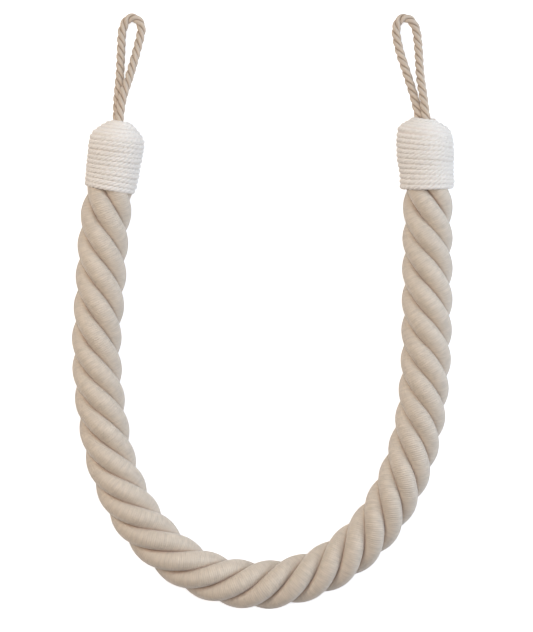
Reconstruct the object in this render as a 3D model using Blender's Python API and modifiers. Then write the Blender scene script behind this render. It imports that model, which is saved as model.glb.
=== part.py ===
"""Rope curtain tieback, lying face up on a surface. Metres, +Z up, +Y towards the loops.

A thick rope laid up from four strands is bent into a U. A whipping of cotton cord is wound round each end and worked
over it into a dome, and a doubled loop of thin three-ply cord comes out of the top of each dome. Each is its own solid.
"""

import math
from collections import namedtuple

import bmesh
import bpy
from mathutils import Vector

MM = 0.001

# The rope over its strands' crests, and how finely its lay is followed.
ROPE_RADIUS = 15.5
ROPE_RINGS_PER_QUARTER = 4

# The thin cord of the loops: radius over the plies, and the length of one full turn of its lay.
LOOP_RADIUS = 2.85
LOOP_LEAD = 16.0
LOOP_STEP = 1.9

# The cotton cord of the whippings, which shows as ridges.
TURN_PITCH = 3.0
TURN_DEPTH = 0.7
AROUND = 28

# Whatever would reach below this height is pressed flat on the surface.
SETTLE = 0.35

# A point of the rope's centre line: height is that of the centre, radius is over the strands' crests, and turns counts
# quarter turns of the lay from the first row that shows below the left whipping.
RopePoint = namedtuple("RopePoint", "x y height radius turns")
ROPE_ROUTE = [
    RopePoint(-90.5, 109.0, 16.6, 11.7, -3.0),
    RopePoint(-90.9, 106.0, 16.6, 13.1, -2.84),
    RopePoint(-92.6, 92.2, 16.6, 13.1, -2.12),
    RopePoint(-94.7, 75.5, 16.5, 13.0, -1.25),
    RopePoint(-96.0, 67.5, 16.2, 14.4, -0.83),
    RopePoint(-98.4, 51.5, 15.5, 15.4, 0.0),
    RopePoint(-101.0, 12.8, 14.9, 15.5, 2.0),
    RopePoint(-102.8, -25.9, 14.9, 15.5, 4.0),
    RopePoint(-99.9, -63.7, 14.9, 15.5, 6.0),
    RopePoint(-91.2, -102.2, 14.9, 15.6, 8.0),
    RopePoint(-72.3, -136.0, 14.9, 15.5, 10.0),
    RopePoint(-41.2, -161.3, 14.9, 15.5, 12.0),
    RopePoint(-3.4, -169.9, 14.9, 15.3, 14.0),
    RopePoint(34.3, -162.0, 14.9, 15.5, 16.0),
    RopePoint(63.9, -140.4, 14.9, 15.5, 18.0),
    RopePoint(84.1, -109.7, 14.9, 15.5, 20.0),
    RopePoint(95.9, -74.3, 14.9, 15.5, 22.0),
    RopePoint(100.4, -38.8, 14.9, 15.5, 24.0),
    RopePoint(101.6, -2.8, 14.9, 15.5, 26.0),
    RopePoint(101.9, 36.3, 15.2, 15.5, 28.0),
    RopePoint(102.0, 55.5, 16.0, 15.3, 29.0),
    RopePoint(102.0, 67.5, 16.9, 14.3, 29.62),
    RopePoint(101.7, 75.5, 17.4, 13.0, 30.04),
    RopePoint(100.8, 92.2, 17.5, 13.1, 30.91),
    RopePoint(100.0, 106.0, 17.5, 13.1, 31.63),
    RopePoint(99.8, 109.0, 17.5, 11.7, 31.79),
]

# The outside of each whipping over its turns: height along its own axis from its open end.
Girth = namedtuple("Girth", "height radius")
LEFT_GIRTHS = [
    Girth(0.0, 15.4),
    Girth(2.0, 16.3),
    Girth(10.0, 16.8),
    Girth(19.0, 17.1),
    Girth(26.0, 17.2),
    Girth(31.3, 16.8),
    Girth(33.8, 15.8),
    Girth(36.3, 13.6),
    Girth(38.8, 11.1),
    Girth(40.6, 8.8),
    Girth(42.15, 6.4),
]
RIGHT_GIRTHS = [
    Girth(0.0, 15.6),
    Girth(2.0, 16.6),
    Girth(10.5, 17.0),
    Girth(15.0, 17.5),
    Girth(19.2, 18.0),
    Girth(25.5, 18.2),
    Girth(31.0, 17.7),
    Girth(35.3, 17.1),
    Girth(37.8, 16.0),
    Girth(39.7, 14.1),
    Girth(41.5, 11.2),
    Girth(42.9, 8.6),
    Girth(43.75, 6.4),
]

# The inside of both whippings, from the hole for the loop's legs down to the open end.
WHIPPING_INSIDE = [
    (39.8, 6.4),
    (38.2, 8.3),
    (36.1, 10.5),
    (34.3, 12.3),
    (31.6, 13.6),
    (16.0, 13.7),
    (1.0, 13.7),
    (0.0, 13.9),
]

# A loop's centre line: out of the left of its hole, round the tip on the surface, and back in on the right. The right
# leg lies over the left one where they leave the dome.
LoopPoint = namedtuple("LoopPoint", "x y height")
LEFT_LOOP_ROUTE = [
    LoopPoint(-91.3, 110.0, 13.8),
    LoopPoint(-90.7, 118.5, 13.8),
    LoopPoint(-90.3, 131.6, 12.1),
    LoopPoint(-89.1, 146.9, 8.8),
    LoopPoint(-88.6, 162.2, 5.0),
    LoopPoint(-88.1, 173.7, 2.9),
    LoopPoint(-86.9, 178.0, 2.55),
    LoopPoint(-85.0, 181.6, 2.55),
    LoopPoint(-81.6, 183.0, 2.55),
    LoopPoint(-78.3, 181.6, 2.55),
    LoopPoint(-76.2, 178.0, 2.55),
    LoopPoint(-76.2, 173.7, 2.9),
    LoopPoint(-78.8, 162.2, 5.3),
    LoopPoint(-82.7, 146.7, 10.8),
    LoopPoint(-87.0, 131.4, 17.3),
    LoopPoint(-88.8, 118.5, 19.4),
    LoopPoint(-89.5, 110.0, 19.4),
]
RIGHT_LOOP_ROUTE = [
    LoopPoint(97.5, 110.2, 15.6),
    LoopPoint(96.8, 118.6, 15.6),
    LoopPoint(94.0, 131.5, 13.8),
    LoopPoint(89.6, 146.8, 9.9),
    LoopPoint(85.1, 162.2, 5.2),
    LoopPoint(83.1, 173.7, 2.9),
    LoopPoint(83.6, 178.0, 2.55),
    LoopPoint(85.2, 181.4, 2.55),
    LoopPoint(88.4, 182.9, 2.55),
    LoopPoint(91.9, 181.6, 2.55),
    LoopPoint(94.5, 178.3, 2.55),
    LoopPoint(96.0, 173.7, 2.9),
    LoopPoint(97.0, 162.2, 5.3),
    LoopPoint(97.6, 146.7, 10.8),
    LoopPoint(99.4, 131.3, 16.6),
    LoopPoint(100.9, 118.6, 19.4),
    LoopPoint(101.7, 110.2, 19.4),
]


def clear_scene():
    for obj in list(bpy.data.objects):
        bpy.data.objects.remove(obj)


def collection(name, is_helper=False):
    made = bpy.data.collections.new(name)
    made.hide_render = is_helper
    bpy.context.scene.collection.children.link(made)
    return made


def guide(name, data, helpers):
    obj = bpy.data.objects.new(name, data)
    obj.hide_render = True
    obj.display_type = "WIRE"
    helpers.objects.link(obj)
    return obj


def solid_of(obj):
    """The evaluated mesh of a guide, welded shut, with its faces pointing out. The guide is removed."""
    graph = bpy.context.evaluated_depsgraph_get()
    mesh = bpy.data.meshes.new_from_object(obj.evaluated_get(graph))
    edited = bmesh.new()
    edited.from_mesh(mesh)
    bmesh.ops.remove_doubles(edited, verts=edited.verts, dist=0.00001)
    bmesh.ops.recalc_face_normals(edited, faces=edited.faces)
    edited.to_mesh(mesh)
    edited.free()
    bpy.data.objects.remove(obj)
    return mesh


def material(name, colour, roughness):
    made = bpy.data.materials.new(name)
    made.use_nodes = True
    shader = made.node_tree.nodes["Principled BSDF"]
    shader.inputs["Base Color"].default_value = (*colour, 1.0)
    shader.inputs["Roughness"].default_value = roughness
    made.diffuse_color = (*colour, 1.0)
    return made


def smooth_rows(rows, step):
    """Rows at even steps along a curve through the given ones, of which the first three columns are a place."""
    rows = [list(map(float, row)) for row in rows]
    at = [0.0]
    for before, after in zip(rows, rows[1:]):
        at.append(at[-1] + math.dist(before[:3], after[:3]))

    def slope(index, column):
        low = max(index - 1, 0)
        high = min(index + 1, len(rows) - 1)
        return (rows[high][column] - rows[low][column]) / (at[high] - at[low])

    count = max(2, round(at[-1] / step))
    made = []
    span = 0
    for number in range(count + 1):
        place = at[-1] * number / count
        while span < len(rows) - 2 and place > at[span + 1]:
            span += 1
        width = at[span + 1] - at[span]
        t = (place - at[span]) / width
        row = []
        for column in range(len(rows[0])):
            start = rows[span][column]
            end = rows[span + 1][column]
            lean_out = slope(span, column) * width
            lean_in = slope(span + 1, column) * width
            row.append(
                (2 * t**3 - 3 * t**2 + 1) * start
                + (t**3 - 2 * t**2 + t) * lean_out
                + (3 * t**2 - 2 * t**3) * end
                + (t**3 - t**2) * lean_in
            )
        made.append(row)
    return made


def lay_section(name, strands, radius, centre, deep, wide, points, helpers):
    """The outline of a laid cord: strands seen end on as ovals, deep and wide being their half sizes."""
    outline = []
    for number in range(strands * points):
        turn = 2 * math.pi * number / (strands * points)
        pitch = 2 * math.pi / strands
        off = (turn + pitch / 2) % pitch - pitch / 2
        # The ray at this angle leaves the oval at the larger root.
        a = (math.cos(off) / deep) ** 2 + (math.sin(off) / wide) ** 2
        b = centre * math.cos(off) / deep**2
        c = (centre / deep) ** 2 - 1
        reach = (b + math.sqrt(b * b - a * c)) / a * radius
        outline.append((reach * math.cos(turn), reach * math.sin(turn)))
    curve = bpy.data.curves.new(name, "CURVE")
    curve.dimensions = "2D"
    spline = curve.splines.new("POLY")
    spline.points.add(len(outline) - 1)
    for point, (x, y) in zip(spline.points, outline):
        point.co = (x * MM, y * MM, 0.0, 1.0)
    spline.use_cyclic_u = True
    return guide(name, curve, helpers)


def swept(name, places, scales, tilts, section, helpers):
    """A closed mesh of the section carried along the places, turned by the tilts. The section is removed."""
    curve = bpy.data.curves.new(name + "_line", "CURVE")
    curve.dimensions = "3D"
    curve.twist_mode = "Z_UP"
    curve.bevel_mode = "OBJECT"
    curve.bevel_object = section
    curve.use_fill_caps = True
    spline = curve.splines.new("POLY")
    spline.points.add(len(places) - 1)
    for point, place, scale, tilt in zip(spline.points, places, scales, tilts):
        point.co = (place[0] * MM, place[1] * MM, place[2] * MM, 1.0)
        point.radius = scale
        point.tilt = tilt
    mesh = solid_of(guide(name + "_line", curve, helpers))
    bpy.data.objects.remove(section)
    return mesh


def settle(obj):
    """Presses flat on the surface whatever reaches below it."""
    bpy.context.view_layer.update()
    inverse = obj.matrix_world.inverted()
    for vertex in obj.data.vertices:
        place = obj.matrix_world @ vertex.co
        if place.z < SETTLE * MM:
            place.z = 0.0
            vertex.co = inverse @ place


def finish(obj, look, parts, parent, sharp_degrees):
    parts.objects.link(obj)
    obj.parent = parent
    obj.data.materials.clear()
    obj.data.materials.append(look)
    bpy.ops.object.select_all(action="DESELECT")
    obj.select_set(True)
    bpy.context.view_layer.objects.active = obj
    bpy.ops.object.shade_smooth()
    obj.data.set_sharp_from_angle(angle=math.radians(sharp_degrees))
    settle(obj)


def rope(parts, helpers, parent, look):
    section = lay_section("rope_section", 4, ROPE_RADIUS, 0.6, 0.4, 0.5, 6, helpers)
    quarters = ROPE_ROUTE[-1].turns - ROPE_ROUTE[0].turns
    length = sum(math.dist(a[:3], b[:3]) for a, b in zip(ROPE_ROUTE, ROPE_ROUTE[1:]))
    rows = smooth_rows(ROPE_ROUTE, length / quarters / ROPE_RINGS_PER_QUARTER)
    scales = [row[3] / ROPE_RADIUS for row in rows]
    # A left-hand lay, with two strands side by side across the rope at each whole count.
    tilts = [math.radians(45 - 90 * row[4]) for row in rows]
    mesh = swept("rope", rows, scales, tilts, section, helpers)
    obj = bpy.data.objects.new("rope", mesh)
    finish(obj, look, parts, parent, 60)


def loop(name, route, parts, helpers, parent, look):
    section = lay_section(name + "_section", 3, LOOP_RADIUS, 0.53, 0.47, 0.53, 4, helpers)
    rows = smooth_rows(route, LOOP_STEP)
    step = math.dist(rows[0], rows[1])
    tilts = [-2 * math.pi * number * step / LOOP_LEAD for number in range(len(rows))]
    mesh = swept(name, rows, [1.0] * len(rows), tilts, section, helpers)
    obj = bpy.data.objects.new(name, mesh)
    finish(obj, look, parts, parent, 70)


def girth_at(height, girths):
    for low, high in zip(girths, girths[1:]):
        if height <= high.height:
            share = (height - low.height) / (high.height - low.height)
            return low.radius + (high.radius - low.radius) * share
    return girths[-1].radius


def ridged_outline(girths):
    """Crests and valleys, one pair to a turn of the cord, from the open end over the dome to the hole."""
    top = girths[-1].height
    fine = [(top * n / 400, girth_at(top * n / 400, girths)) for n in range(401)]
    at = [0.0]
    for before, after in zip(fine, fine[1:]):
        at.append(at[-1] + math.dist(before, after))
    turns = round(at[-1] / TURN_PITCH)
    outline = []
    for half in range(2 * turns + 1):
        place = at[-1] * half / (2 * turns)
        index = min(range(len(at)), key=lambda i: abs(at[i] - place))
        low = max(index - 8, 0)
        high = min(index + 8, len(fine) - 1)
        along = Vector((fine[high][0] - fine[low][0], fine[high][1] - fine[low][1])).normalized()
        outward = Vector((-along.y, along.x))
        sink = 0.0 if half % 2 else TURN_DEPTH
        outline.append((fine[index][0] - outward.x * sink, fine[index][1] - outward.y * sink))
    return outline


def whipping(name, girths, place, lean, parts, helpers, parent, look):
    outline = ridged_outline(girths) + WHIPPING_INSIDE
    mesh = bpy.data.meshes.new(name + "_outline")
    vertices = [(radius * MM, 0.0, height * MM) for height, radius in outline]
    edges = [(n, (n + 1) % len(vertices)) for n in range(len(vertices))]
    mesh.from_pydata(vertices, edges, [])
    turned = guide(name + "_outline", mesh, helpers)
    screw = turned.modifiers.new("round", "SCREW")
    screw.axis = "Z"
    screw.angle = 2 * math.pi
    screw.steps = AROUND
    screw.render_steps = AROUND
    screw.use_merge_vertices = True
    screw.merge_threshold = 0.00001
    obj = bpy.data.objects.new(name, solid_of(turned))
    obj.location = [value * MM for value in place]
    obj.rotation_euler = (-math.pi / 2, 0.0, -math.radians(lean))
    finish(obj, look, parts, parent, 35)


def build():
    clear_scene()
    parts = collection("rope_curtain_tieback")
    helpers = collection("guides", is_helper=True)
    # The routes were measured from near the middle, and this puts the middle of the whole on the origin.
    parent = bpy.data.objects.new("tieback", None)
    parent.location = (-0.35 * MM, -0.5 * MM, 0.0)
    parts.objects.link(parent)
    rope_look = material("rope_thread", (0.56, 0.46, 0.36), 0.85)
    whip_look = material("cotton_cord", (0.76, 0.70, 0.62), 0.9)
    loop_look = material("loop_cord", (0.50, 0.42, 0.33), 0.85)
    rope(parts, helpers, parent, rope_look)
    whipping("whipping_left", LEFT_GIRTHS, (-94.6, 75.3, 16.6), 7.0, parts, helpers, parent, whip_look)
    whipping("whipping_right", RIGHT_GIRTHS, (101.8, 75.3, 17.5), -3.3, parts, helpers, parent, whip_look)
    loop("loop_left", LEFT_LOOP_ROUTE, parts, helpers, parent, loop_look)
    loop("loop_right", RIGHT_LOOP_ROUTE, parts, helpers, parent, loop_look)


build()
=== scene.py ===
# %% [markdown]
# # A rope curtain tieback
#
# This lesson dresses a curtain tieback that lies face up on a pale table. It has five parts: a thick rope
# of four strands bent into a U, a whipping of cotton cord wound round each end and worked over it into a
# dome, and a doubled loop of thin cord that comes out of the top of each dome.
#
# The plain solids of all five come in first and stay as a fixed frame. Everything that shows is made new
# over them, so the sizes are theirs and only the surfaces are finer.

# %% Open the frame
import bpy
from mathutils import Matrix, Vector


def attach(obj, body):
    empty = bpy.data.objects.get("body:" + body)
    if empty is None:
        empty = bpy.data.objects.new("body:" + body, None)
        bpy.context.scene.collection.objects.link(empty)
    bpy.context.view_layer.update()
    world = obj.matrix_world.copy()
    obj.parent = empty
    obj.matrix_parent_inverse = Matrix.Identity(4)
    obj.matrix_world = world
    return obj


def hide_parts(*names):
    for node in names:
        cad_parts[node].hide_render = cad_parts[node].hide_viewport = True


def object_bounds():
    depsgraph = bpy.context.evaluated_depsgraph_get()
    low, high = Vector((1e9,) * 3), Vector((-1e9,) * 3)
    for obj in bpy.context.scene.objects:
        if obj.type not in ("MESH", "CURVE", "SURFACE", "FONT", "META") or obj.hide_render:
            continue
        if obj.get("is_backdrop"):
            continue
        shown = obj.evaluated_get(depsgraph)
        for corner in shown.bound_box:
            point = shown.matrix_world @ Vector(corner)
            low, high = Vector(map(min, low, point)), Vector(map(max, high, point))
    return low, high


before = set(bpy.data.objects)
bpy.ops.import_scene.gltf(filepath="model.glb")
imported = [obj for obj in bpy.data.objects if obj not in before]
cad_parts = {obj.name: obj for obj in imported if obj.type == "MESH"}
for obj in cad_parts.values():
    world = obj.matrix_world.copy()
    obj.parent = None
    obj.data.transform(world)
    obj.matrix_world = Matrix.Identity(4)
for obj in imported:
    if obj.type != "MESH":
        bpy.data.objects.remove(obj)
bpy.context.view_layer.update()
print("The solids are", sorted(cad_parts))

# %% What the lesson uses
import math

import bpy
import numpy as np
from mathutils import Vector

MM = 0.001
bpy.ops.object.select_all(action="DESELECT")

# %% [markdown]
# ## The camera
#
# The tieback was photographed square on and from far off, so nothing in it looks foreshortened. A camera
# straight above the table with a long lens gives that view. It could be an orthographic camera too, but a
# real lens keeps the slight look into the near sides that the photograph has. The picture is 632 pixels
# tall and a pixel is 0.62 mm at the rope's height, which fixes the lens once the distance is chosen.

# %% Set up the camera
PICTURE_TALL = 632
PIXEL = 0.62 * MM
CAMERA_OVER_ROPE = 1.6
ROPE_LEVEL = 15 * MM
FILM = 36.0
CAMERA_ASIDE = (1.8 * MM, -3.9 * MM)

camera_data = bpy.data.cameras.new("camera")
camera_data.sensor_width = FILM
camera_data.lens = FILM * CAMERA_OVER_ROPE / (PICTURE_TALL * PIXEL)
camera = bpy.data.objects.new("camera", camera_data)
camera.location = (*CAMERA_ASIDE, CAMERA_OVER_ROPE + ROPE_LEVEL)
bpy.context.scene.collection.objects.link(camera)
bpy.context.scene.camera = camera
print("The lens is", round(camera_data.lens, 1), "mm")

# %% [markdown]
# ## Smooth lines
#
# Every piece here follows a line: the rope's middle, a strand round that middle, a cord wound round the
# rope. A route is a short list of given points. A Blender curve would smooth it, but the strands
# also need the rope's thickness and its twist at every step, so those ride along as extra columns and one
# function smooths them together.

# %% Helpers for lines
def unit(vectors):
    """The same directions, one long."""
    return vectors / np.linalg.norm(vectors, axis=-1, keepdims=True)


def smooth_line(rows, step):
    """Rows at even steps on a curve through the given ones. The first three columns are a place."""
    rows = np.array(rows, float)
    gaps = np.linalg.norm(np.diff(rows[:, :3], axis=0), axis=1)
    at = np.concatenate([[0.0], np.cumsum(gaps)])
    lean = np.empty_like(rows)
    lean[1:-1] = (rows[2:] - rows[:-2]) / (at[2:] - at[:-2])[:, None]
    lean[0] = (rows[1] - rows[0]) / gaps[0]
    lean[-1] = (rows[-1] - rows[-2]) / gaps[-1]
    places = np.linspace(0.0, at[-1], max(2, round(at[-1] / step)) + 1)
    span = np.clip(np.searchsorted(at, places) - 1, 0, len(rows) - 2)
    width = gaps[span][:, None]
    t = (places - at[span])[:, None] / width
    start = (2 * t**3 - 3 * t**2 + 1) * rows[span] + (t**3 - 2 * t**2 + t) * lean[span] * width
    end = (3 * t**2 - 2 * t**3) * rows[span + 1] + (t**3 - t**2) * lean[span + 1] * width
    return start + end


def run_of(line):
    """How far along a line each of its points is."""
    return np.concatenate([[0.0], np.cumsum(np.linalg.norm(np.diff(line, axis=0), axis=1))])


def frame_of(line):
    """The two directions square to a flat-lying line at each point: level to its side, and upward."""
    along = unit(np.gradient(line, axis=0))
    side = unit(np.cross((0.0, 0.0, 1.0), along))
    return side, np.cross(along, side)


print("A straight line of 10 mm in steps of 2:", smooth_line([(0, 0, 0), (10, 0, 0)], 2.0)[:, 0])

# %% [markdown]
# ## Strands as tubes
#
# Rope is several strands twisted round each other, so it is built that way: a strand's line runs round the
# rope's middle like a screw thread, and an oval ring is set square to it at every step. A bevelled Blender
# curve does the same for one strand. Here the rings are made directly, which lets a strand be wider than it
# is deep, lets it be pressed flat on the table, and gives each point a place in the pattern: metres along
# the strand, and how far round it. The pattern's seam is on the side that faces the rope's middle, where it
# can't be seen.

# %% Rings along a line
def rings_along(line, outward, deep, wide, around):
    """Oval rings square to a line. Deep is the half size along outward and wide the one across it."""
    along = unit(np.gradient(line, axis=0))
    outward = unit(outward - np.sum(outward * along, axis=1, keepdims=True) * along)
    across = np.cross(along, outward)
    turn = math.pi + 2 * math.pi * np.arange(around) / around
    deep_part = (deep[:, None] * np.cos(turn))[:, :, None] * outward[:, None, :]
    wide_part = (wide[:, None] * np.sin(turn))[:, :, None] * across[:, None, :]
    return line[:, None, :] + deep_part + wide_part


print("Half sizes deep and wide may differ at every step of the line")

# %% A mesh piece of tubes
TABLE = 0.0


def piece_of_tubes(name, tubes):
    """One closed mesh piece of several tubes. A tube is its rings and how far along the pattern each is."""
    places = []
    faces = []
    pattern = []
    first = 0
    for rings, along in tubes:
        count, around = rings.shape[:2]
        ring = np.arange(count - 1)[:, None] * around + first
        corner = np.arange(around)[None, :]
        following = (corner + 1) % around
        beyond = ring + around
        sides = np.stack([ring + corner, ring + following, beyond + following, beyond + corner], -1)
        faces += sides.reshape(-1, 4).tolist()
        faces.append(list(range(first + around - 1, first - 1, -1)))
        last = first + (count - 1) * around
        faces.append(list(range(last, last + around)))
        near = np.broadcast_to(along[:-1, None], (count - 1, around))
        far = np.broadcast_to(along[1:, None], (count - 1, around))
        low = np.broadcast_to(corner / around, (count - 1, around))
        high = low + 1 / around
        pattern.append(np.stack([near, low, near, high, far, high, far, low], -1).ravel())
        turns = np.arange(around) / around
        pattern.append(np.stack([np.full(around, along[0]), turns[::-1]], -1).ravel())
        pattern.append(np.stack([np.full(around, along[-1]), turns], -1).ravel())
        places.append(rings.reshape(-1, 3))
        first += count * around
    places = np.concatenate(places)
    places[:, 2] = np.maximum(places[:, 2], TABLE)
    mesh = bpy.data.meshes.new(name)
    mesh.from_pydata(places.tolist(), [], faces)
    layer = mesh.uv_layers.new(name="along_and_round")
    layer.uv.foreach_set("vector", np.concatenate(pattern).astype(np.float32))
    mesh.shade_smooth()
    piece = bpy.data.objects.new(name, mesh)
    bpy.context.scene.collection.objects.link(piece)
    print(name, "has", sum(len(face) - 2 for face in faces), "triangles")
    return piece


print("Nothing goes below the table at", TABLE)

# %% Strands laid round a line
# Each strand starts far along the pattern from the one before, so that no two look alike.
PATTERN_APART = 3.1


def laid_strands(line, radius, twist, outward_axes, strands, shape, around, early=0.0):
    """Tubes of the strands that are twisted round a line. Twist is the first strand's turn at each point.

    Early is how much further round than that a strand is when it passes the line's left side.
    """
    side, up = outward_axes
    tubes = []
    for number in range(strands):
        turn = twist + 2 * math.pi * number / strands
        turn = (turn - early * (1 + np.cos(turn)) / 2)[:, None]
        outward = np.cos(turn) * side + np.sin(turn) * up
        middle = line + outward * (radius * shape["centre"])[:, None]
        rings = rings_along(middle, outward, radius * shape["deep"], radius * shape["wide"], around)
        tubes.append((rings, run_of(middle) + PATTERN_APART * number))
    return tubes


print("Strands start", PATTERN_APART, "m apart in the pattern")

# %% [markdown]
# ## The rope
#
# The rope's middle line goes down the left arm, round the bend and up the right arm. Its lay is
# left-handed, so on both upright arms the strands slant down to the right. The last column counts quarter
# turns of the lay, read off the photograph strand by strand, because a hand-laid rope isn't even: it opens
# a little round the outside of the bend. At both ends the rope is squeezed thinner where the whipping binds
# it.

# %% From millimetres to metres
SHIFT = (-0.35, -0.5)


def in_metres(route):
    """A route's first three columns as a place in metres, moved as the solids are. The other columns stay."""
    return [((x + SHIFT[0]) * MM, (y + SHIFT[1]) * MM, z * MM, *rest) for x, y, z, *rest in route]


print("The middle of a route ends up at", in_metres([(0.0, 0.0, 0.0)])[0])

# %% The rope's route
# Place x, y and height, radius over the strands, all in millimetres, and quarter turns of the lay.
ROPE_ROUTE = [
    (-90.5, 109.0, 16.6, 11.7, -3.0),
    (-90.9, 106.0, 16.6, 13.1, -2.84),
    (-92.6, 92.2, 16.6, 13.1, -2.12),
    (-94.7, 75.5, 16.5, 14.6, -1.25),
    (-96.0, 67.5, 16.2, 15.4, -0.83),
    (-98.4, 51.5, 15.5, 15.7, 0.0),
    (-101.0, 12.8, 14.9, 15.7, 2.0),
    (-103.2, -25.9, 14.9, 15.4, 4.0),
    (-99.9, -63.7, 14.9, 15.5, 6.0),
    (-91.2, -102.2, 14.9, 15.4, 8.04),
    (-72.3, -136.0, 14.9, 15.2, 10.11),
    (-41.2, -161.3, 14.9, 14.8, 12.13),
    (-3.4, -170.2, 14.9, 15.1, 14.14),
    (34.3, -162.0, 14.9, 14.8, 16.13),
    (63.9, -140.4, 14.9, 15.1, 18.07),
    (84.1, -109.7, 14.9, 15.5, 20.06),
    (95.9, -74.3, 14.9, 15.5, 22.09),
    (100.4, -38.8, 14.9, 15.6, 24.09),
    (101.6, -2.8, 14.9, 15.8, 26.05),
    (101.9, 36.3, 15.2, 15.7, 28.07),
    (102.0, 55.5, 16.0, 15.5, 29.11),
    (102.0, 67.5, 16.9, 15.3, 29.7),
    (101.7, 75.5, 17.4, 14.6, 30.1),
    (100.8, 92.2, 17.5, 13.1, 30.91),
    (100.0, 106.0, 17.5, 13.1, 31.63),
    (99.8, 109.0, 17.5, 11.7, 31.79),
]
ROPE_STEP = 1.6 * MM
rope_rows = smooth_line(in_metres(ROPE_ROUTE), ROPE_STEP)
rope_line = rope_rows[:, :3]

# %% How the strands lie in the bend
# Round the bend a strand comes to the inner side early, by this angle at most. Between these quarter turns
# it eases in and out.
INNER_EARLY = math.radians(4.0)
BEND = ((5.0, 9.0), (19.0, 23.0))


def eased(value, low, high):
    """0 below low, 1 above high, and a soft step between."""
    t = np.clip((value - low) / (high - low), 0.0, 1.0)
    return t * t * (3 - 2 * t)


quarter_turns = rope_rows[:, 4]
in_the_bend = eased(quarter_turns, *BEND[0]) - eased(quarter_turns, *BEND[1])
print("The rope makes", round((quarter_turns[-1] - quarter_turns[0]) / 4, 1), "whole turns of its lay")

# %% Lay up the rope
# Middle and half sizes of a strand as shares of the rope's radius.
ROPE_SHAPE = {"centre": 0.6, "deep": 0.4, "wide": 0.4}
ROPE_STRANDS = 4
ROUND_A_STRAND = 40
# Where the first strand is round the rope when the quarter turns are 0, in degrees from the line's left
# side.
FIRST_STRAND = 45.0
rope_strands = laid_strands(
    rope_line,
    rope_rows[:, 3] * MM,
    np.radians(FIRST_STRAND - 90 * quarter_turns),
    frame_of(rope_line),
    ROPE_STRANDS,
    ROPE_SHAPE,
    ROUND_A_STRAND,
    early=INNER_EARLY * in_the_bend,
)
rope = piece_of_tubes("laid_rope", rope_strands)

# %% Tell the frame about the rope
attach(rope, "root")
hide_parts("rope")
print("The rope takes the place of the solid called rope")

# %% [markdown]
# ## The loops
#
# Each loop is one thin cord of three plies, doubled, with both ends bound under the whipping. In use it
# hangs on a wall hook. Its lay is left-handed too. The right leg lies over the left one where they leave
# the dome, then they spread and sink to the table, and the tip is a narrow round bend. The plies are made
# exactly like the rope's strands.

# %% The loops' routes
# Place x, y and height of the cord's middle, in millimetres, from the lower leg to the upper one.
LOOP_ROUTES = {
    "left": [
        (-91.3, 110.0, 13.8),
        (-90.7, 118.5, 13.8),
        (-90.3, 131.6, 12.1),
        (-89.1, 146.9, 8.8),
        (-88.6, 162.2, 5.0),
        (-88.1, 173.7, 2.9),
        (-86.9, 178.0, 2.55),
        (-85.0, 181.6, 2.55),
        (-81.6, 183.0, 2.55),
        (-78.3, 181.6, 2.55),
        (-76.2, 178.0, 2.55),
        (-76.2, 173.7, 2.9),
        (-78.8, 162.2, 5.3),
        (-82.7, 146.7, 10.8),
        (-87.0, 131.4, 17.3),
        (-88.8, 118.5, 19.4),
        (-89.5, 110.0, 19.4),
    ],
    "right": [
        (97.5, 110.2, 15.6),
        (96.8, 118.6, 15.6),
        (94.0, 131.5, 13.8),
        (89.6, 146.8, 9.9),
        (85.1, 162.2, 5.2),
        (83.1, 173.7, 2.9),
        (83.6, 178.0, 2.55),
        (85.2, 181.4, 2.55),
        (88.4, 182.9, 2.55),
        (91.9, 181.6, 2.55),
        (94.5, 178.3, 2.55),
        (96.0, 173.7, 2.9),
        (97.0, 162.2, 5.3),
        (97.6, 146.7, 10.8),
        (99.4, 131.3, 16.6),
        (100.9, 118.6, 19.4),
        (101.7, 110.2, 19.4),
    ],
}
print("Points on each loop's route:", [len(route) for route in LOOP_ROUTES.values()])

# %% Lay up both loops
LOOP_RADIUS = 2.85 * MM
LOOP_LEAD = 16.5 * MM
LOOP_PLIES = 3
LOOP_STEP = 0.6 * MM
ROUND_A_LOOP_PLY = 20
LOOP_SHAPE = {"centre": 0.52, "deep": 0.48, "wide": 0.49}
loops = []
for hand, route in LOOP_ROUTES.items():
    line = smooth_line(in_metres(route), LOOP_STEP)
    run = run_of(line)
    even = np.full(len(line), LOOP_RADIUS)
    twist = -2 * math.pi * run / LOOP_LEAD
    plies = laid_strands(line, even, twist, frame_of(line), LOOP_PLIES, LOOP_SHAPE, ROUND_A_LOOP_PLY)
    loop = piece_of_tubes("cord_loop_" + hand, plies)
    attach(loop, "root")
    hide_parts("loop_" + hand)
    loops.append(loop)
    print("The", hand, "loop's cord is", round(run[-1] / MM), "mm long")

# %% [markdown]
# ## Where a whipping is
#
# A whipping is a cord wound tightly round the end of a rope so that it can't fray. Here it goes on over the
# end and closes into a dome. Its outside was measured from the photograph as a girth at several heights,
# and the cord's middle runs half its own thickness inside that. Each whipping leans as its arm does, and
# the right dome slumps to the right.

# %% The two whippings' measures
CORD = 1.85 * MM
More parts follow.
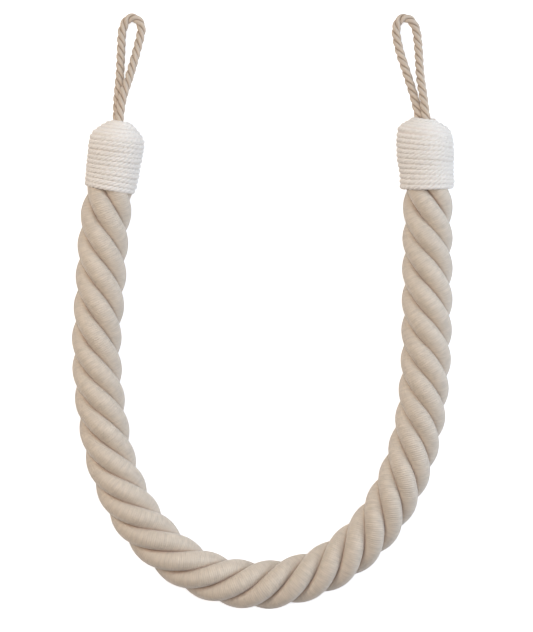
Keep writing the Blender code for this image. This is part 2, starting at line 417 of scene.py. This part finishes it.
# Girths are height from the open end and radius, in millimetres. Lean is to the right. Slope is how far the
# turns fall to the right, beyond the lean and their own pitch. Slump is the same for the dome's form. Pair
# is the direction from the lower to the upper leg of the loop, seen along the whipping from its open end.
WHIPPINGS = {
    "left": {
        "foot": (-94.7, 74.7, 16.6),
        "lean": 8.0,
        "slope": -4.0,
        "slump": -1.0,
        "pair": 71.0,
        "girths": [
            (0.0, 15.4),
            (2.0, 16.3),
            (10.0, 16.8),
            (19.0, 17.2),
            (26.0, 17.5),
            (31.3, 17.3),
            (33.8, 16.6),
            (36.3, 14.7),
            (38.8, 12.2),
            (40.8, 9.8),
            (42.5, 7.0),
            (43.4, 4.6),
        ],
    },
    "right": {
        "foot": (101.8, 75.3, 17.5),
        "lean": -3.3,
        "slope": 5.0,
        "slump": 7.5,
        "pair": 43.0,
        "girths": [
            (0.0, 16.3),
            (2.0, 17.2),
            (10.5, 17.1),
            (15.0, 17.5),
            (19.2, 18.0),
            (25.5, 18.2),
            (31.0, 17.7),
            (35.3, 17.1),
            (37.8, 16.0),
            (39.7, 14.1),
            (41.5, 11.2),
            (42.9, 8.7),
            (43.7, 6.6),
            (44.3, 4.5),
        ],
    },
}
widest = [max(radius for height, radius in whipping["girths"]) for whipping in WHIPPINGS.values()]
print("The whippings' widest radii, in millimetres:", widest)

# %% Places on a whipping
# The turns also dip towards the viewer, by this much for each millimetre that they stand out in front.
DIP = 0.09
# The slump eases in between these shares of the height.
SLUMPING = (0.6, 0.95)


def on_whipping(whipping, height, right, front):
    """The place of a point at a height up the whipping's axis, and that far right and front of it."""
    lean = math.radians(whipping["lean"])
    foot = np.array(in_metres([whipping["foot"]])[0])
    up_axis = np.array((math.sin(lean), math.cos(lean), 0.0))
    right_axis = np.array((math.cos(lean), -math.sin(lean), 0.0))
    top = whipping["girths"][-1][0] * MM
    slumping = eased(height, SLUMPING[0] * top, SLUMPING[1] * top)
    slump = math.tan(math.radians(whipping["slump"])) * slumping
    slumped = height - slump * right - DIP * front
    place = foot + slumped[..., None] * up_axis + right[..., None] * right_axis
    return place + front[..., None] * np.array((0.0, 0.0, 1.0))


print("A turn dips by", DIP, "of how far it stands out in front")

# %% The outline that a whipping follows
OUTLINE_STEP = 0.2 * MM


def profile_of(whipping, inside):
    """Heights and radii of a line that much inside the whipping's outline, at fine steps."""
    girths = [(height * MM, radius * MM, 0.0) for height, radius in whipping["girths"]]
    outline = smooth_line(girths, OUTLINE_STEP)
    along = unit(np.gradient(outline[:, :2], axis=0))
    outward = np.stack([-along[:, 1], along[:, 0]], axis=1)
    return outline[:, :2] - inside * outward, outward


print("The left whipping's outline has", len(profile_of(WHIPPINGS["left"], CORD)[0]), "points")

# %% [markdown]
# ## Winding the cord
#
# The cord's middle climbs one pitch a turn up this outline, from a start that is tucked in at the back. On
# the dome a turn comes up through the outline's curve as well, and the last one hugs the two legs of the
# loop. No hand winds evenly, so the pitch and the girth waver a little, by sums of a few waves that are the
# same on every run.

# %% Unevenness and the start of the dome
WAVE_RATES = (0.37, 0.83, 1.31, 2.17)
# The dome begins and is reached at these shares of the height.
DOME = (0.66, 0.86)


def waver(turn, seed, size):
    """A slow uneven wave along a winding, of about the given size."""
    chance = np.random.default_rng(seed)
    total = np.zeros_like(turn)
    for rate in WAVE_RATES:
        total += np.sin(rate * turn + chance.uniform(0, 2 * math.pi)) / 2
    return size * total


def on_dome(whipping, height):
    """How far on the dome a height is: 0 on the straight part, 1 well up the dome."""
    top = whipping["girths"][-1][0] * MM
    return eased(height, DOME[0] * top, DOME[1] * top)


print("At 34 mm up, the left whipping is on the dome by", round(on_dome(WHIPPINGS["left"], 34 * MM), 2))

# %% The line of a winding
TURN_PITCH = 3.0 * MM
STEPS_A_TURN = 120
# How far up the outline the first turn's middle is at the back, and how far in its end is tucked.
FIRST_TURN = CORD - 2.2 * MM
TUCK = 2.0 * MM
# Half the length and half the width of the hole that the loop's two legs need.
HUG_LONG = 7.25 * MM
HUG_SHORT = 4.5 * MM
# The slope and the waver come in over the first turns, this many, and the waver is this large each way.
SETTLED_TURNS = 6
WAVER_UP = 0.2 * MM
WAVER_OUT = 0.1 * MM


def winding_line(whipping, seed):
    """The middle line of a whipping's cord, and for each point the way outwards and how far on the dome."""
    profile, outward = profile_of(whipping, CORD)
    run = run_of(profile)
    turns = (run[-1] - FIRST_TURN) / TURN_PITCH
    turn = np.linspace(0.0, 2 * math.pi * turns, round(STEPS_A_TURN * turns))
    angle = turn - 0.5 * math.pi
    up = FIRST_TURN + TURN_PITCH * turn / (2 * math.pi)
    radius = np.interp(up, run, profile[:, 1])
    steady = eased(up, CORD, SETTLED_TURNS * TURN_PITCH)
    up = up - math.tan(math.radians(whipping["slope"])) * radius * np.cos(angle) * steady
    up = np.minimum(up + waver(turn, seed, WAVER_UP) * steady, run[-1])
    height = np.interp(up, run, profile[:, 0]) + np.minimum(up, 0.0)
    radius = np.interp(up, run, profile[:, 1]) + waver(turn, seed + 1, WAVER_OUT)
    radius -= TUCK * (1 - eased(turn, 0.0, math.radians(40)))
    pair = math.radians(whipping["pair"])
    long_part = np.maximum(radius, HUG_LONG) * np.cos(angle - pair)
    short_part = np.maximum(radius, HUG_SHORT) * np.sin(angle - pair)
    right = long_part * math.cos(pair) - short_part * math.sin(pair)
    front = long_part * math.sin(pair) + short_part * math.cos(pair)
    line = on_whipping(whipping, height, right, front)
    rise = np.interp(up, run, outward[:, 0])
    spread = np.interp(up, run, outward[:, 1])
    further_right = right + spread * np.cos(angle) * MM
    further_front = front + spread * np.sin(angle) * MM
    tip = on_whipping(whipping, height + rise * MM, further_right, further_front)
    return line, unit(tip - line), on_dome(whipping, height)


line = winding_line(WHIPPINGS["left"], 3)[0]
print("The left whipping takes", round(run_of(line)[-1], 2), "m of cord")

# %% Wind both whippings
COTTON_PLIES = 3
COTTON_LEAD = 9.3 * MM
COTTON_SHAPE = {"centre": 0.48, "deep": 0.52, "wide": 0.53}
# On the dome the plies are spread flatter, by this share of the cord's radius.
FLATTER = 0.1
ROUND_A_COTTON_PLY = 10
windings = []
for seed, (hand, whipping) in enumerate(WHIPPINGS.items()):
    line, out, domed = winding_line(whipping, 10 * seed + 3)
    along = unit(np.gradient(line, axis=0))
    out = unit(out - np.sum(out * along, axis=1, keepdims=True) * along)
    across = np.cross(out, along)
    twist = -2 * math.pi * run_of(line) / COTTON_LEAD
    even = np.full(len(line), CORD)
    shape = {**COTTON_SHAPE, "wide": COTTON_SHAPE["wide"] + FLATTER * domed}
    plies = laid_strands(line, even, twist, (across, out), COTTON_PLIES, shape, ROUND_A_COTTON_PLY)
    winding = piece_of_tubes("winding_" + hand, plies)
    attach(winding, "root")
    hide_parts("whipping_" + hand)
    windings.append(winding)

# %% [markdown]
# ## Under the winding
#
# Between two round cords there is a thin line where the eye could slip through to the hollow inside. The
# real whipping has more cord under it. A plain sleeve does the same work here. Its outline is turned round
# the axis with a Screw modifier, as a potter turns a bowl, then moved to its place.

# %% The outlines of two sleeves
SLEEVE_UNDER = 1.6 * MM
SLEEVE_RISE = 1.0 * MM
SLEEVE_THICK = 0.6 * MM
# The sleeve is closed on top, but for a small hole between the loop's two legs.
CAP_HOLE = 0.5 * MM
# Every sixth point of the outline is enough, from a little above its foot to a little below its top.
SLEEVE_POINTS = slice(6, -14, 6)
sleeve_outlines = {}
for hand, whipping in WHIPPINGS.items():
    heights = profile_of(whipping, 0.0)[0][:, 0]
    under = (SLEEVE_UNDER - SLEEVE_RISE * on_dome(whipping, heights))[:, None]
    outer = profile_of(whipping, under)[0][SLEEVE_POINTS]
    inner = profile_of(whipping, under + SLEEVE_THICK)[0][SLEEVE_POINTS][::-1]
    cap = [(outer[-1][0] + SLEEVE_THICK, CAP_HOLE), (outer[-1][0], CAP_HOLE)]
    sleeve_outlines[hand] = np.concatenate([outer, cap, inner])
print("Points on each outline:", [len(outline) for outline in sleeve_outlines.values()])

# %% Turn the sleeves
SLEEVE_STEPS = 64
sleeves = []
for hand, outline in sleeve_outlines.items():
    mesh = bpy.data.meshes.new("sleeve_" + hand)
    edges = [(n, (n + 1) % len(outline)) for n in range(len(outline))]
    mesh.from_pydata([(radius, 0.0, height) for height, radius in outline], edges, [])
    sleeve = bpy.data.objects.new("sleeve_" + hand, mesh)
    bpy.context.scene.collection.objects.link(sleeve)
    screw = sleeve.modifiers.new("turned", "SCREW")
    screw.steps = SLEEVE_STEPS
    screw.render_steps = SLEEVE_STEPS
    screw.use_merge_vertices = True
    screw.merge_threshold = 0.01 * MM
    bpy.ops.object.select_all(action="DESELECT")
    sleeve.select_set(True)
    bpy.context.view_layer.objects.active = sleeve
    bpy.ops.object.modifier_apply(modifier="turned")
    sleeves.append(sleeve)
    print("The", hand, "sleeve has", len(sleeve.data.polygons), "faces")

# %% Put the sleeves in their places
# The place in the yarn's pattern that the sleeve takes its colour from, between the groove and the crown.
# There its colour is part crown colour and part painted groove shade.
SLEEVE_PATTERN = 0.26
for sleeve, whipping in zip(sleeves, WHIPPINGS.values()):
    points = np.array([vertex.co for vertex in sleeve.data.vertices])
    layer = sleeve.data.uv_layers.new(name="along_and_round")
    for corner, loop in zip(layer.uv, sleeve.data.loops):
        corner.vector = (points[loop.vertex_index, 2], SLEEVE_PATTERN)
    places = on_whipping(whipping, points[:, 2], points[:, 0], points[:, 1])
    places[:, 2] = np.maximum(places[:, 2], TABLE)
    for vertex, place in zip(sleeve.data.vertices, places):
        vertex.co = place
    bpy.ops.object.select_all(action="DESELECT")
    sleeve.select_set(True)
    bpy.context.view_layer.objects.active = sleeve
    bpy.ops.object.mode_set(mode="EDIT")
    bpy.ops.mesh.select_all(action="SELECT")
    bpy.ops.mesh.normals_make_consistent(inside=False)
    bpy.ops.object.mode_set(mode="OBJECT")
    bpy.ops.object.shade_smooth()
    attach(sleeve, "root")
    print(sleeve.name, "is", [round(size / MM, 1) for size in sleeve.dimensions], "mm")

# %% [markdown]
# ## Threads as a shader group
#
# All three yarns are made of finer threads that run along or round them, too fine to model: the rope's
# strands are wound crosswise with thread, and the plies of both cords are spun. One node group draws such
# threads on any of them. It reads the pattern's place, metres along and turns round, adds so many threads
# for each, and puts out a rounded ridge for each thread, a chance tone for each, and a crown that is 1 on
# top of a strand and 0 down in its groove.

# %% Helpers for nodes
def add_node(tree, kind, inputs=(), **settings):
    """A new node with its settings. Each input is given as a value or as another node's output."""
    made = tree.nodes.new(kind)
    for name, value in settings.items():
        setattr(made, name, value)
    for name, value in dict(inputs).items():
        if isinstance(value, bpy.types.NodeSocket):
            tree.links.new(value, made.inputs[name])
        else:
            made.inputs[name].default_value = value
    return made


def add_math(tree, operation, *values):
    """A Math node's output."""
    return add_node(tree, "ShaderNodeMath", dict(enumerate(values)), operation=operation).outputs[0]


def new_group(name, inputs, outputs):
    """An empty shader group with number inputs and their first values, and number outputs."""
    tree = bpy.data.node_groups.new(name, "ShaderNodeTree")
    for label, value in inputs.items():
        socket = tree.interface.new_socket(label, in_out="INPUT", socket_type="NodeSocketFloat")
        socket.default_value = value
    for label in outputs:
        tree.interface.new_socket(label, in_out="OUTPUT", socket_type="NodeSocketFloat")
    return tree, tree.nodes.new("NodeGroupInput").outputs, tree.nodes.new("NodeGroupOutput").inputs


print("Three helpers: add_node, add_math and new_group")

# %% The thread group
WANDER_SCALE = 260.0
# Below 1 this makes a thread's ridge broad and the gap beside it narrow.
RIDGE_POWER = 0.6
FLECKS_A_THREAD = 0.7
threads_group, given, result = new_group(
    "fine_threads",
    {"Threads a Metre": 1000.0, "Threads Round": 1.0, "Waver": 0.3, "Flecks Round": 16.0},
    ("Thread", "Tone", "Crown"),
)
place = add_node(threads_group, "ShaderNodeUVMap", uv_map="along_and_round").outputs["UV"]
split = add_node(threads_group, "ShaderNodeSeparateXYZ", {0: place}).outputs
wander = add_node(threads_group, "ShaderNodeTexCoord").outputs["Object"]
uneven = add_node(
    threads_group, "ShaderNodeTexNoise", {"Vector": wander, "Scale": WANDER_SCALE, "Detail": 2.0}
).outputs["Fac"]
shifted = add_math(threads_group, "MULTIPLY", add_math(threads_group, "SUBTRACT", uneven, 0.5), given["Waver"])
counted = add_math(
    threads_group,
    "ADD",
    add_math(threads_group, "MULTIPLY", split["X"], given["Threads a Metre"]),
    add_math(threads_group, "MULTIPLY", split["Y"], given["Threads Round"]),
)
counted = add_math(threads_group, "ADD", counted, shifted)
wave = add_math(threads_group, "COSINE", add_math(threads_group, "MULTIPLY", counted, math.pi))
ridge = add_math(threads_group, "POWER", add_math(threads_group, "ABSOLUTE", wave), RIDGE_POWER)
fleck_along = add_math(threads_group, "MULTIPLY", counted, FLECKS_A_THREAD)
fleck_round = add_math(threads_group, "MULTIPLY", split["Y"], given["Flecks Round"])
flecked = add_node(threads_group, "ShaderNodeCombineXYZ", {0: fleck_along, 1: fleck_round}).outputs["Vector"]
chance = add_node(
    threads_group, "ShaderNodeTexNoise", {"Vector": flecked, "Scale": 1.0, "Detail": 1.0}
).outputs["Fac"]
round_cosine = add_math(threads_group, "COSINE", add_math(threads_group, "MULTIPLY", split["Y"], 2 * math.pi))
crown = add_math(threads_group, "SUBTRACT", 0.5, add_math(threads_group, "MULTIPLY", round_cosine, 0.5))
threads_group.links.new(ridge, result["Thread"])
threads_group.links.new(chance, result["Tone"])
threads_group.links.new(crown, result["Crown"])
print("The thread group has", len(threads_group.nodes), "nodes")

# %% [markdown]
# ## Yarn colour and painted shade as a shader group
#
# No dyed yarn is one colour: it drifts slowly from place to place. This group also paints shade into the
# colour. It is deeper and warmer down in the grooves, where light only arrives by way of other yarn, and a
# little darker in the gaps between threads. The second group puts these together for any yarn from its crown
# colour and its painted groove shade, so that all three finishes are shaded alike.

# %% The yarn colour and painted shade group
# The painted groove shade is full up to this crown value.
GROOVE_SHADE_START = 0.25
DRIFT_SCALE = 45.0
yarn_group = bpy.data.node_groups.new("yarn_colour_and_shade", "ShaderNodeTree")
for label, kind, value in (
    ("Crown Colour", "NodeSocketColor", (0.8, 0.7, 0.6, 1.0)),
    ("Painted Groove Shade", "NodeSocketColor", (0.3, 0.2, 0.1, 1.0)),
    ("Crown", "NodeSocketFloat", 1.0),
    ("Groove Shade End", "NodeSocketFloat", 0.8),
    ("Thread", "NodeSocketFloat", 1.0),
    ("Tone", "NodeSocketFloat", 0.5),
    ("Thread Gap Shade", "NodeSocketFloat", 0.1),
    ("Tone Contrast", "NodeSocketFloat", 0.1),
    ("Drift", "NodeSocketFloat", 0.1),
):
    yarn_group.interface.new_socket(label, in_out="INPUT", socket_type=kind).default_value = value
yarn_group.interface.new_socket("Colour", in_out="OUTPUT", socket_type="NodeSocketColor")
given = yarn_group.nodes.new("NodeGroupInput").outputs
result = yarn_group.nodes.new("NodeGroupOutput").inputs
# Painted shade: low on a strand, towards its groove, the crown colour gives way to the painted groove shade.
lit = add_node(
    yarn_group,
    "ShaderNodeMapRange",
    {"Value": given["Crown"], "From Min": GROOVE_SHADE_START, "From Max": given["Groove Shade End"]},
    interpolation_type="SMOOTHSTEP",
).outputs["Result"]
base = add_node(
    yarn_group, "ShaderNodeMix", {0: lit, 6: given["Painted Groove Shade"], 7: given["Crown Colour"]}, data_type="RGBA"
).outputs[2]
# Painted shade: a little darker in the gaps between threads, where the thread ridge is low.
between = add_math(yarn_group, "SUBTRACT", 1.0, given["Thread"])
darker = add_math(yarn_group, "MULTIPLY", between, given["Thread Gap Shade"])
off_tone = add_math(yarn_group, "SUBTRACT", given["Tone"], 0.5)
chance = add_math(yarn_group, "MULTIPLY", off_tone, given["Tone Contrast"])
where = add_node(yarn_group, "ShaderNodeTexCoord").outputs["Object"]
slow = add_node(
    yarn_group, "ShaderNodeTexNoise", {"Vector": where, "Scale": DRIFT_SCALE, "Detail": 3.0}
).outputs["Fac"]
drift = add_math(yarn_group, "MULTIPLY", add_math(yarn_group, "SUBTRACT", slow, 0.5), given["Drift"])
change = add_math(yarn_group, "ADD", chance, drift)
value = add_math(yarn_group, "ADD", add_math(yarn_group, "SUBTRACT", 1.0, darker), change)
shaded = add_node(yarn_group, "ShaderNodeHueSaturation", {"Color": base, "Value": value}).outputs["Color"]
yarn_group.links.new(shaded, result["Colour"])
print("The yarn colour group has", len(yarn_group.nodes), "nodes")

# %% [markdown]
# ## Three finishes
#
# The rope's strands are wound with a beige thread of a soft lustre, one thread every 1.1 mm and nearly
# square across the strand. The whippings are undyed cotton, dull and pale. The loops are a beige spun cord.
# Each finish has painted shade of its own, a deeper colour in the grooves between its strands or plies. The
# three differ only in their numbers, so one function makes them.

# %% Colours
def colour(red, green, blue):
    """A colour from the eight-bit numbers of a picture, as the light values that shaders use."""
    return tuple(((part / 255 + 0.055) / 1.055) ** 2.4 for part in (red, green, blue)) + (1.0,)


print("Middle grey of a picture as a light value:", round(colour(128, 128, 128)[0], 3))

# %% A yarn's material
def yarn_finish(
    name,
    crown,
    groove_shade,
    groove_shade_end,
    threads,
    flecks,
    gap_shade,
    tones,
    drift,
    relief,
    roughness,
    gloss,
    sheen,
):
    """A yarn's material, with painted shade in its grooves and between its threads. Threads is how many there
    are a metre along and how many round.
    """
    finish = bpy.data.materials.new(name)
    finish.use_nodes = True
    tree = finish.node_tree
    shader = tree.nodes["Principled BSDF"]
    shader.inputs["Roughness"].default_value = roughness
    shader.inputs["Specular IOR Level"].default_value = gloss
    shader.inputs["Sheen Weight"].default_value = sheen
    shader.inputs["Sheen Roughness"].default_value = 0.5
    fine = add_node(tree, "ShaderNodeGroup", node_tree=threads_group)
    fine.inputs["Threads a Metre"].default_value = threads[0]
    fine.inputs["Threads Round"].default_value = threads[1]
    fine.inputs["Flecks Round"].default_value = flecks
    dyed_and_shaded = add_node(tree, "ShaderNodeGroup", node_tree=yarn_group)
    dyed_and_shaded.inputs["Crown Colour"].default_value = crown
    dyed_and_shaded.inputs["Painted Groove Shade"].default_value = groove_shade
    dyed_and_shaded.inputs["Groove Shade End"].default_value = groove_shade_end
    dyed_and_shaded.inputs["Thread Gap Shade"].default_value = gap_shade
    dyed_and_shaded.inputs["Tone Contrast"].default_value = tones
    dyed_and_shaded.inputs["Drift"].default_value = drift
    for label in ("Thread", "Tone", "Crown"):
        tree.links.new(fine.outputs[label], dyed_and_shaded.inputs[label])
    tree.links.new(dyed_and_shaded.outputs["Colour"], shader.inputs["Base Color"])
    height = fine.outputs["Thread"]
    bump = add_node(tree, "ShaderNodeBump", {"Height": height, "Distance": relief, "Strength": 1.0})
    tree.links.new(bump.outputs["Normal"], shader.inputs["Normal"])
    return finish


print("One function makes all three finishes")

# %% The rope's finish
rope_finish = yarn_finish(
    "wound_rope_thread",
    colour(204, 190, 172),
    # Painted groove shade: a dark warm brown where the strands meet.
    colour(146, 96, 58),
    groove_shade_end=0.73,
    threads=(900, 2),
    flecks=6.0,
    gap_shade=0.11,
    tones=0.4,
    drift=0.12,
    relief=0.22 * MM,
    roughness=0.45,
    gloss=0.5,
    sheen=0.35,
)
print("Made", rope_finish.name)

# %% The whippings' finish
cotton_finish = yarn_finish(
    "undyed_cotton",
    colour(226, 220, 212),
    # Painted groove shade: a little darker where the cotton plies meet.
    colour(200, 182, 170),
    groove_shade_end=0.7,
    threads=(600, 5),
    flecks=5.0,
    gap_shade=0.06,
    tones=0.1,
    drift=0.08,
    relief=0.06 * MM,
    roughness=0.85,
    gloss=0.3,
    sheen=0.3,
)
print("Made", cotton_finish.name)

# %% The loops' finish
loop_finish = yarn_finish(
    "spun_loop_cord",
    colour(198, 182, 164),
    # Painted groove shade: deeper brown between the loop's plies.
    colour(140, 113, 86),
    groove_shade_end=0.84,
    threads=(500, 7),
    flecks=5.0,
    gap_shade=0.1,
    tones=0.2,
    drift=0.12,
    relief=0.1 * MM,
    roughness=0.6,
    gloss=0.4,
    sheen=0.3,
)
print("Made", loop_finish.name)

# %% Dress the pieces
for finish, pieces in (
    (rope_finish, [rope]),
    (loop_finish, loops),
    (cotton_finish, windings + sleeves),
):
    for piece in pieces:
        piece.data.materials.clear()
        piece.data.materials.append(finish)
print("Dressed", 1 + len(loops) + len(windings + sleeves), "pieces")

# %% [markdown]
# ## Table and light
#
# The photograph has a bright even ground and soft light that is warm from the left and cool from the right.
# Six soft lamps stand round the tieback, all as far from it: one overhead, three beyond the loops, and one
# to each side. Light adds up, so each lamp was first rendered alone, and its strength and colour are its
# share in the sum that comes nearest to the photograph. The table is white and shines a little by itself,
# but only towards the camera, so that the ground stays bright and the rope isn't lit from below.

# %% The table
bpy.ops.mesh.primitive_plane_add(size=8.0, location=(0.0, 0.0, -0.1 * MM))
table = bpy.context.active_object
table.name = "table"
table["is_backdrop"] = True
table_finish = bpy.data.materials.new("pale_table")
table_finish.use_nodes = True
table_shader = table_finish.node_tree.nodes["Principled BSDF"]
table_shader.inputs["Base Color"].default_value = (0.86, 0.86, 0.86, 1.0)
table_shader.inputs["Roughness"].default_value = 0.9
table_shader.inputs["Emission Strength"].default_value = 0.6
light_path = table_finish.node_tree.nodes.new("ShaderNodeLightPath")
table_finish.node_tree.links.new(light_path.outputs["Is Camera Ray"], table_shader.inputs["Emission Color"])
table.data.materials.append(table_finish)
print("The table is", table.dimensions.x, "m across")

# %% The lamps
LAMP_SIZE = 0.9
LAMPS = {
    "overhead": {"place": (0.0, 0.0, 1.7), "watts": 13.2, "colour": (1.0, 0.95, 0.96)},
    "right_low": {"place": (1.62, 0.0, 0.5), "watts": 16.4, "colour": (0.79, 0.88, 1.0)},
    "right_beyond": {"place": (0.8, 0.8, 1.26), "watts": 6.1, "colour": (0.55, 0.76, 1.0)},
    "left_beyond": {"place": (-0.8, 0.8, 1.26), "watts": 8.2, "colour": (1.0, 0.93, 0.85)},
    "left_side": {"place": (-1.14, 0.0, 1.26), "watts": 6.6, "colour": (1.0, 0.83, 0.66)},
    "beyond_low": {"place": (0.0, 1.66, 0.35), "watts": 3.4, "colour": (1.0, 1.0, 0.95)},
}
for name, lamp in LAMPS.items():
    lamp_data = bpy.data.lights.new(name, "AREA")
    lamp_data.shape = "DISK"
    lamp_data.size = LAMP_SIZE
    lamp_data.energy = lamp["watts"]
    lamp_data.color = lamp["colour"]
    lamp_object = bpy.data.objects.new(name, lamp_data)
    lamp_object.location = lamp["place"]
    lamp_object.rotation_euler = (-Vector(lamp["place"])).to_track_quat("-Z", "Y").to_euler()
    bpy.context.scene.collection.objects.link(lamp_object)

print("Lamps:", sorted(LAMPS))

# %% The sky
SKY_STRENGTH = 0.02
sky = bpy.data.worlds.new("pale_sky")
sky.use_nodes = True
sky.node_tree.nodes["Background"].inputs["Color"].default_value = (1.0, 1.0, 1.0, 1.0)
sky.node_tree.nodes["Background"].inputs["Strength"].default_value = SKY_STRENGTH
bpy.context.scene.world = sky
bpy.context.scene.view_settings.view_transform = "Standard"
print("Colours are shown by the", bpy.context.scene.view_settings.view_transform, "transform")

# %% [markdown]
# ## Last measures
#
# The dressed tieback has to stay as big as its solids. Its box is measured and printed in millimetres.

# %% Finish
dressed_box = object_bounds()
dressed_sizes = [[round(value / MM, 1) for value in corner] for corner in dressed_box]
print("The dressed box, in millimetres:", dressed_sizes)
